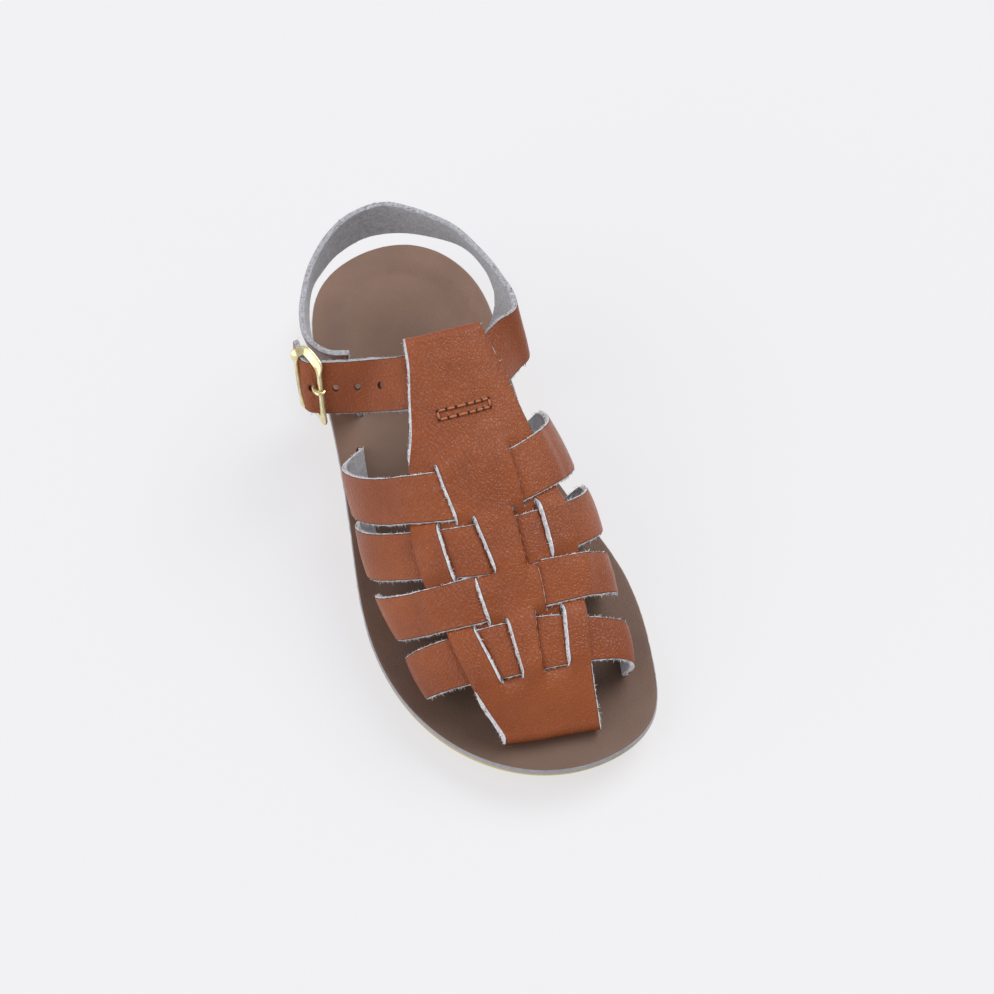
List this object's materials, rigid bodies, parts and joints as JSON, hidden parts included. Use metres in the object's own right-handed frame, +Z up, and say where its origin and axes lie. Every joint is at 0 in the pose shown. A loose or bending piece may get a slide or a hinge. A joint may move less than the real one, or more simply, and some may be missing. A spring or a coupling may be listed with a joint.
{
  "type": "child's fisherman sandal",
  "caption": "Child's fisherman sandal with a woven leather upper, heel and ankle strap with brass buckle, leather footbed and light rubber sole.",
  "frame": {"origin": "middle of the sandal's box at floor level", "axes": "+Y from toe to heel, +X to the inner side of the foot, +Z up"},
  "size_m": [0.0808, 0.186, 0.0629],
  "materials": {
    "outsole_rubber": "matte moulded crepe-like rubber, pale yellow tan, wrinkled under the sole",
    "footbed_leather": "smooth brown taupe leather, low sheen, pale cut edge",
    "upper_leather": "fine grained tan leather, soft gloss, pale grey cut edges and suede back",
    "strap_leather": "fine grained tan leather, soft gloss, pale grey cut edges and suede back",
    "buckle_brass": "polished pale brass wire"
  },
  "bodies": {
    "root": {"outsole": "outsole_rubber", "insole": "footbed_leather", "vamp": "upper_leather", "ankle_strap": "strap_leather", "buckle_frame": "buckle_brass", "buckle_prong": "buckle_brass"}
  },
  "joints": []
}
